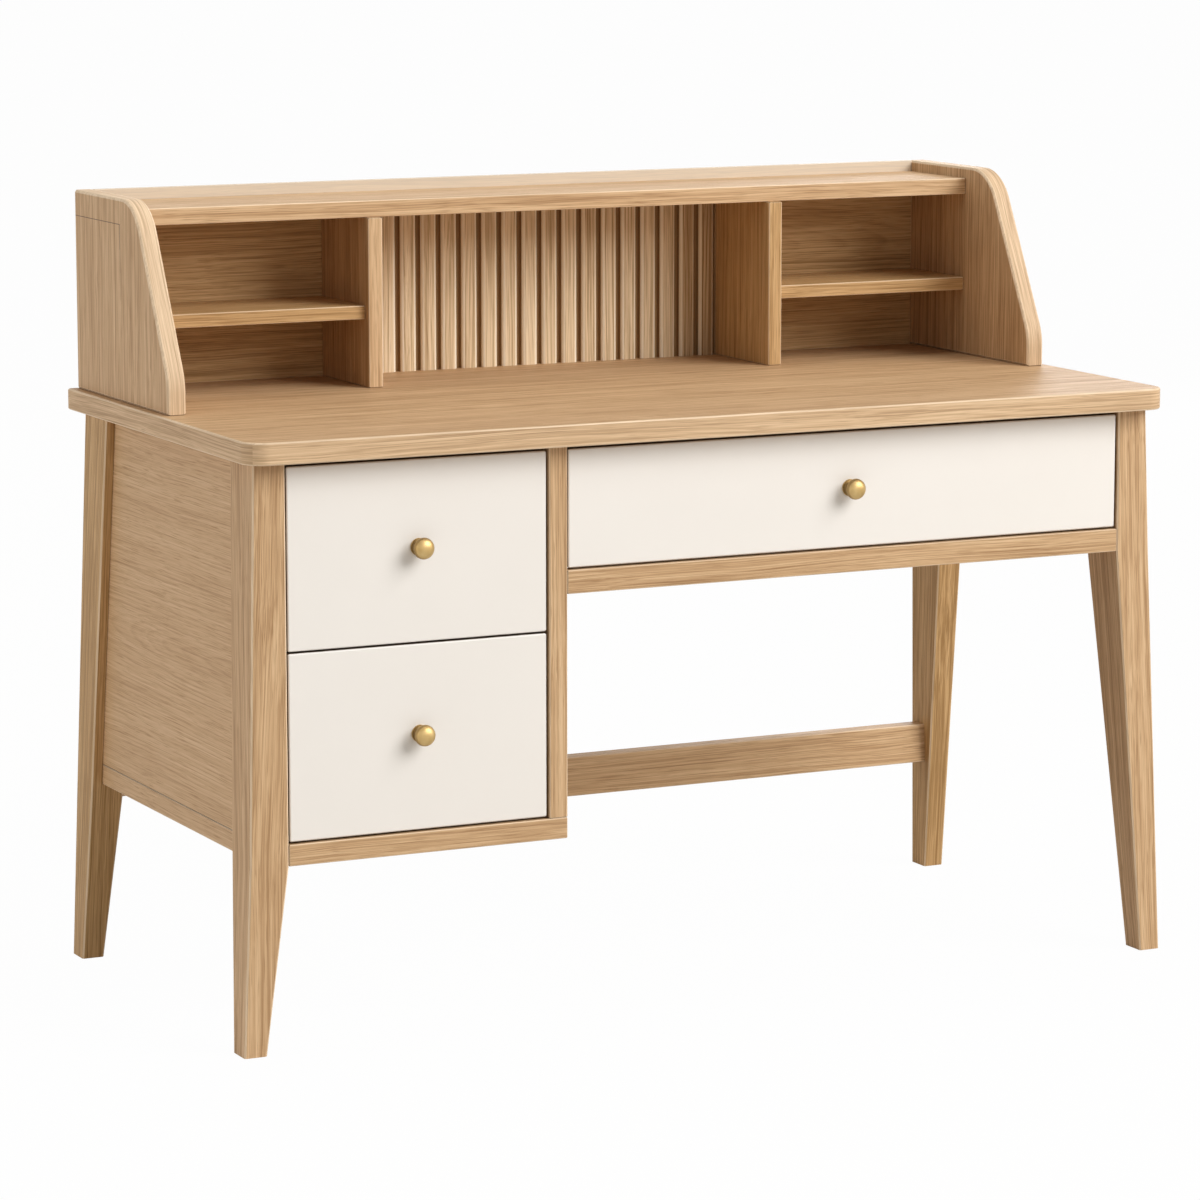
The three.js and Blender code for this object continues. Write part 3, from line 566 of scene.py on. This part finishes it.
left, right, back, down, up = (-1, 0, 0), (1, 0, 0), (0, 1, 0), (0, 0, -1), (0, 0, 1)
boardFacts = {
    # what differs from the usual: rounding, where the heart lies across the board, how much lighter the rim is
    # (wear with a painted highlight) that its fibres follow, lighter or darker than most, painted light on its
    # front alone (painted shade below zero), above what height it has a painted sheen, on which sides a tight joint
    # shows, and which oak it is cut from (the shaded copy is painted shade)
    "desktop": {"width": 0.0010, "heart": 0.10, "rimWrapHighlight": 0.25, "edgeWearAndHighlight": 1.0, "frontPaintedLight": 2.0},
    "front_left_leg": {"frontPaintedLight": 0.8, "edgeWearAndHighlight": 0.25},
    "front_right_leg": {"frontPaintedLight": 1.8, "edgeWearAndHighlight": 0.25},
    "hutch_left_side": {"rimWrapHighlight": 0.60, "edgeWearAndHighlight": 1.0, "isScribed": True, "seams": (down,)},
    "hutch_right_side": {"rimWrapHighlight": 0.50, "edgeWearAndHighlight": 1.0, "seams": (down,)},
    "left_side_panel": {"heart": 0.03, "oak": "veneer", "seams": (back, down)},
    "left_side_rail": {"seams": (up, back), "oak": "veneer"},
    "hutch_back_panel": {"heart": -0.02, "sheenPaintedAbove": 1.004, "oak": "shaded_oak_copy"},
    "pedestal_stile": {"tone": 2.0, "seams": (down,)}, "pedestal_bottom_rail": {"seams": (left,)},
    "right_front_rail": {"seams": (left, right)}, "stretcher": {"seams": (left, right), "tone": 2.0},
    "hutch_left_divider": {"tone": -0.5, "frontPaintedLight": 5.5, "seams": (back, down, up)},
    "hutch_right_divider": {"tone": 1.5, "oak": "shaded_oak_copy", "seams": (back, down, up)},
    "left_cubby_shelf": {"oak": "shaded_oak_copy", "seams": (left, right, back)},
    "right_cubby_shelf": {"oak": "shaded_oak_copy", "seams": (left, right, back)},
    "hutch_top_shelf": {"tone": 1.8, "frontPaintedLight": 1.4, "seams": (left, right)},
    # the rear legs stand in shade: their shaded oak copy and lower tone are painted shade; the left one's front is
    # painted lighter, the right one's darker
    "rear_left_leg": {"tone": -2.2, "frontPaintedLight": 1.6, "edgeWearAndHighlight": 0.25, "oak": "shaded_oak_copy"},
    "rear_right_leg": {"tone": -1.6, "frontPaintedLight": -1.2, "edgeWearAndHighlight": 0.25, "oak": "shaded_oak_copy"},
}


def makeBoard(node, seed):
    facts = boardFacts.get(node, {})
    mesh = roundedCopy(node, facts.get("width", rounding["width"]), facts.get("edgeWearAndHighlight", rounding["edgeWearAndHighlight"]),
                       facts.get("sheenPaintedAbove"), facts.get("seams", ()), facts.get("isScribed", False))
    layGrain(mesh, boards[node], seed, leaning=node.endswith("_leg"), heart=facts.get("heart"),
             rimWrapHighlight=facts.get("rimWrapHighlight", 0.0), pieceTone=facts.get("tone"), frontPaintedLight=facts.get("frontPaintedLight", 0.0))
    if slotOf[node] == "lacquer":
        # the edges of a drawer front, facing the gaps round it, are coloured dark: painted shade in the gaps
        bare = mesh.attributes.new("bare", "FLOAT", "FACE")
        for face in mesh.polygons:
            bare.data[face.index].value = 1.0 if abs(face.normal.y) < 0.3 else 0.0
    mesh.materials.clear()
    mesh.materials.append(finishes[facts.get("oak", slotOf[node])])
    piece = newPiece(node + "_board", mesh)
    smoothed(piece)
    stands(piece, node)


for number, boardNode in enumerate(boards):
    makeBoard(boardNode, rounding["firstSeed"] + number)
print("boards cut:", len(boards))


# the slatted panel

slatFacts = {
    "count": 19, "gap": 0.007, "backing": 0.003, "shoulder": 0.0055, "shoulderSteps": 6, "creaseAngle": 40,
    "paintedGapShade": 12.0,                 # painted shade: how much darker than a slat's face the gaps are
    "paintedShadowStart": 0.6, "paintedShadowRate": 9.0,   # painted shadow of the right divider: from what share of the row on the slats darken, and how fast
    "gapFrom": 0.97, "shoulderFrom": 0.15,      # how far a face has turned sideways to be a gap, or a shoulder
    "grainSeed": 77, "slatSeed": 78,
}


def newTree(name, inputs):
    tree = bpy.data.node_groups.new(name, "GeometryNodeTree")
    for label, kind in inputs:
        tree.interface.new_socket(label, in_out="INPUT", socket_type=kind)
    tree.interface.new_socket("Geometry", in_out="OUTPUT", socket_type="NodeSocketGeometry")
    return tree


def runTree(tree, values, name):
    holder = newPiece(name + "Holder", bpy.data.meshes.new(name + "Holder"))
    modifier = holder.modifiers.new("build", "NODES")
    modifier.node_group = tree
    sockets = {item.name: item.identifier for item in tree.interface.items_tree if item.in_out == "INPUT"}
    for label, value in values.items():
        modifier[sockets[label]] = value
    bpy.context.view_layer.update()
    evaluated = holder.evaluated_get(bpy.context.evaluated_depsgraph_get())
    mesh = bpy.data.meshes.new_from_object(evaluated)
    holder.modifiers.remove(modifier)
    bpy.data.objects.remove(holder)
    mesh.name = name
    return mesh


def slatTree():
    tree = newTree("slatRow", [
        ("Count", "NodeSocketInt"), ("Pitch", "NodeSocketFloat"), ("Width", "NodeSocketFloat"),
        ("Depth", "NodeSocketFloat"), ("Height", "NodeSocketFloat"), ("Shoulder", "NodeSocketFloat"),
        ("Shoulder Steps", "NodeSocketInt"), ("First", "NodeSocketVector"), ("Backing", "NodeSocketVector"),
        ("Backing Middle", "NodeSocketVector"), ("Finish", "NodeSocketMaterial"),
    ])
    given = addNode(tree, "NodeGroupInput").outputs
    step = addNode(tree, "ShaderNodeCombineXYZ", {"X": given["Pitch"]}).outputs[0]
    row = addNode(tree, "GeometryNodeMeshLine", {
        "Count": given["Count"], "Start Location": given["First"], "Offset": step,
    }, mode="OFFSET").outputs[0]
    outline = addNode(tree, "GeometryNodeCurvePrimitiveQuadrilateral", {
        "Width": given["Width"], "Height": given["Depth"],
    }, mode="RECTANGLE").outputs[0]
    place = addNode(tree, "ShaderNodeSeparateXYZ", {0: addNode(tree, "GeometryNodeInputPosition").outputs[0]})
    isFront = calc(tree, "LESS_THAN", place.outputs[1], 0.0)
    radius = calc(tree, "MULTIPLY", isFront, given["Shoulder"])
    outline = addNode(tree, "GeometryNodeFilletCurve", {
        "Curve": outline, "Count": given["Shoulder Steps"], "Radius": radius, "Limit Radius": True,
    }, mode="POLY").outputs[0]
    foot = addNode(tree, "GeometryNodeFillCurve", {"Curve": outline}, mode="NGONS").outputs[0]
    upward = addNode(tree, "ShaderNodeCombineXYZ", {"Z": given["Height"]}).outputs[0]
    body = addNode(tree, "GeometryNodeExtrudeMesh", {
        "Mesh": foot, "Offset": upward, "Offset Scale": 1.0, "Individual": False,
    }, mode="FACES").outputs["Mesh"]
    sole = addNode(tree, "GeometryNodeFlipFaces", {"Mesh": foot}).outputs[0]
    slat = addNode(tree, "GeometryNodeJoinGeometry")
    tree.links.new(body, slat.inputs[0])
    tree.links.new(sole, slat.inputs[0])
    slat = addNode(tree, "GeometryNodeMergeByDistance", {"Geometry": slat.outputs[0], "Distance": 1e-6}).outputs[0]
    placed = addNode(tree, "GeometryNodeInstanceOnPoints", {"Points": row, "Instance": slat}).outputs[0]
    number = addNode(tree, "GeometryNodeInputIndex").outputs[0]
    placed = addNode(tree, "GeometryNodeStoreNamedAttribute", {
        "Geometry": placed, "Name": "slat", "Value": number,
    }, data_type="INT", domain="INSTANCE").outputs[0]
    backing = addNode(tree, "GeometryNodeMeshCube", {"Size": given["Backing"]}).outputs[0]
    backing = addNode(tree, "GeometryNodeTransform", {
        "Geometry": backing, "Translation": given["Backing Middle"],
    }).outputs[0]
    backing = addNode(tree, "GeometryNodeStoreNamedAttribute", {
        "Geometry": backing, "Name": "slat", "Value": -1,
    }, data_type="INT", domain="POINT").outputs[0]
    whole = addNode(tree, "GeometryNodeJoinGeometry")
    tree.links.new(addNode(tree, "GeometryNodeRealizeInstances", {"Geometry": placed}).outputs[0], whole.inputs[0])
    tree.links.new(backing, whole.inputs[0])
    final = addNode(tree, "GeometryNodeSetMaterial", {"Geometry": whole.outputs[0], "Material": given["Finish"]})
    tree.links.new(final.outputs[0], addNode(tree, "NodeGroupOutput").inputs[0])
    return tree


def makeSlattedPanel():
    low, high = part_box("slatted_panel")
    pitch = (high.x - low.x) / slatFacts["count"]
    backing = slatFacts["backing"]
    depth = high.y - low.y - backing
    mesh = runTree(slatTree(), {
        "Count": slatFacts["count"], "Pitch": pitch, "Width": pitch - slatFacts["gap"], "Depth": depth,
        "Height": high.z - low.z, "Shoulder": slatFacts["shoulder"], "Shoulder Steps": slatFacts["shoulderSteps"],
        "First": (low.x + pitch / 2, low.y + depth / 2, low.z),
        "Backing": (high.x - low.x, backing, high.z - low.z),
        "Backing Middle": ((low.x + high.x) / 2, high.y - backing / 2, (low.z + high.z) / 2),
        "Finish": finishes["slats"],
    }, "slatted_panel_slats")
    layGrain(mesh, "zy", slatFacts["grainSeed"])
    slat = mesh.attributes["slat"]
    grain, tone = mesh.attributes["grain"], mesh.attributes["tone"]
    draw = random.Random(slatFacts["slatSeed"])
    offsets = [Vector((0, draw.uniform(-0.3, 0.3), 0)) for _ in range(slatFacts["count"] + 1)]
    # the painted shadow of the right divider, deepening over the right-hand slats
    paintedShadowsPerSlat = [max(0.0, i / slatFacts["count"] - slatFacts["paintedShadowStart"]) * slatFacts["paintedShadowRate"]
            for i in range(slatFacts["count"] + 1)]
    tones = [draw.uniform(-1, 1) - slatPaintedShadow for slatPaintedShadow in paintedShadowsPerSlat]
    wearAndPaintedHighlight = mesh.attributes.new("wearAndPaintedHighlight", "FLOAT", "FACE")
    for face in mesh.polygons:
        number = slat.data[mesh.loops[face.loop_start].vertex_index].value + 1
        sideways = abs(face.normal.x)
        isInGap = sideways > slatFacts["gapFrom"] or (number == 0 and face.normal.y < 0.5)
        isShoulder = slatFacts["shoulderFrom"] < sideways <= slatFacts["gapFrom"]
        # painted shade in the gaps and on the backing between slats; the rounded shoulders get a painted highlight
        tone.data[face.index].value = tones[number] - (slatFacts["paintedGapShade"] if isInGap else 0.0)
        wearAndPaintedHighlight.data[face.index].value = 1.0 if isShoulder else 0.0
        for corner in face.loop_indices:
            grain.data[corner].vector += offsets[number]
    piece = newPiece("slatted_panel_slats", mesh)
    smoothed(piece, slatFacts["creaseAngle"])
    stands(piece, "slatted_panel")


makeSlattedPanel()
print("slats in place")


# knobs

knob = {
    "steps": 96, "creaseAngle": 38,
    # radius and distance from the drawer front, in millimetres
    "foot": [(0.0, 0.0), (10.6, 0.0), (11.0, 0.35), (11.0, 1.3), (10.7, 1.9)],
    "cove": {"from": (10.7, 1.9), "pull": (6.6, 2.3), "to": (6.2, 6.2), "steps": 8},
    "flare": {"from": (6.2, 10.2), "pull": (6.6, 14.0), "to": (12.6, 14.6), "steps": 8},
    "rim": [(13.3, 15.2), (13.5, 16.2)],
    "dome": {"height": 9.8, "steps": 16, "fullness": 0.82},
    "patinaAndPaintedShade": ((1.9, 13.4, 1.0), (15.4, 20.6, 0.50)),      # from, to, how much: patina in the neck, with the shade under the head painted in, and a painted dark reflection round the head's edge
}


def arcBetween(facts):
    (x0, y0), (x1, y1), (x2, y2) = facts["from"], facts["pull"], facts["to"]
    points = []
    for i in range(facts["steps"] + 1):
        t = i / facts["steps"]
        a, b, c = (1 - t) ** 2, 2 * t * (1 - t), t ** 2
        points.append((a * x0 + b * x1 + c * x2, a * y0 + b * y1 + c * y2))
    return points


def knobProfile():
    radius, level = knob["rim"][-1]
    dome = []
    for i in range(1, knob["dome"]["steps"]):
        turn = math.pi / 2 * i / knob["dome"]["steps"]
        width = radius * math.cos(turn) ** knob["dome"]["fullness"]
        dome.append((width, level + knob["dome"]["height"] * math.sin(turn)))
    return (knob["foot"] + arcBetween(knob["cove"])[1:] + arcBetween(knob["flare"]) + knob["rim"]
            + dome + [(0.0, level + knob["dome"]["height"])])


def patinaAndShadeAt(out):
    # patina stays in the neck under the head, where a cloth does not reach, and paints in the shade there too; the
    # band round the head's edge is a painted dark reflection
    return next((level for low, high, level in knob["patinaAndPaintedShade"] if low < out * 1000 < high), 0.0)


def makeKnob(node):
    low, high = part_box(node)
    centre = Vector(((low.x + high.x) / 2, high.y, (low.z + high.z) / 2))
    work = bmesh.new()
    patinaAndPaintedShade = work.faces.layers.float.new("patinaAndPaintedShade")
    rings = []
    for radius, out in knobProfile():
        y = centre.y - out / 1000
        if radius == 0:
            rings.append([work.verts.new((centre.x, y, centre.z))])
            continue
        turns = [2 * math.pi * i / knob["steps"] for i in range(knob["steps"])]
        reach = radius / 1000
        rings.append([
            work.verts.new((centre.x + reach * math.cos(turn), y, centre.z + reach * math.sin(turn)))
            for turn in turns
        ])
    for lower, upper in zip(rings, rings[1:]):
        for i in range(knob["steps"]):
            j = (i + 1) % knob["steps"]
            corners = [ring[k % len(ring)] for ring, k in ((lower, i), (lower, j), (upper, j), (upper, i))]
            face = work.faces.new(dict.fromkeys(corners))
            face[patinaAndPaintedShade] = patinaAndShadeAt(centre.y - face.calc_center_median().y)
    bmesh.ops.recalc_face_normals(work, faces=work.faces)
    mesh = bpy.data.meshes.new(node + "_turned")
    work.to_mesh(mesh)
    work.free()
    mesh.materials.append(finishes["brass"])
    piece = newPiece(node + "_turned", mesh)
    smoothed(piece, knob["creaseAngle"])
    stands(piece, node)


for drawerName in drawers:
    makeKnob(drawerName + "_knob")
print("knobs turned")


# runners keep their CAD shape

for node, holder in nodes.items():
    if slotOf[node] == "steel":
        holder.data.materials.clear()
        holder.data.materials.append(finishes["steel"])
